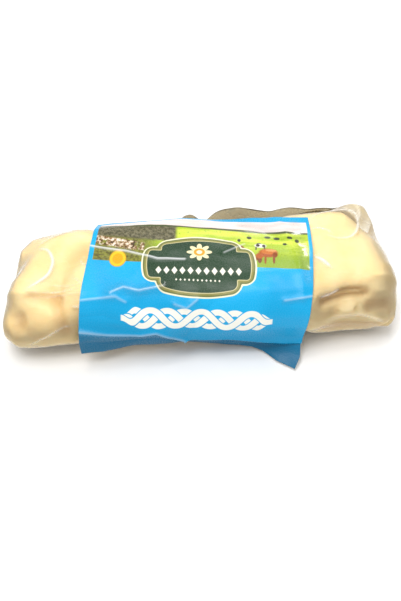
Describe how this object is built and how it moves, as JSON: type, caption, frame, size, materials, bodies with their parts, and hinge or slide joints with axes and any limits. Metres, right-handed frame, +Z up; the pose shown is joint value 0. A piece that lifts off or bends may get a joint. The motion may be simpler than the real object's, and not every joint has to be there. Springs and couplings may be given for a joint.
{
  "type": "braided string cheese",
  "caption": "Braided string cheese sealed in a tight clear vacuum pouch, with a plain printed blue label sheet over its top and front.",
  "frame": {"origin": "bottom centre of the whole's box, on the surface that the pack lies on", "axes": "+X along the braid, +Z up, -Y towards the front, where the label hangs down"},
  "size_m": [0.195, 0.0836, 0.0406],
  "materials": {
    "pouch": "glossy clear film over cream cheese",
    "cheese": "smooth, moist, pale cream",
    "label": "glossy printed film"
  },
  "bodies": {
    "root": {"pouch": "pouch", "label": "label"}
  },
  "joints": []
}
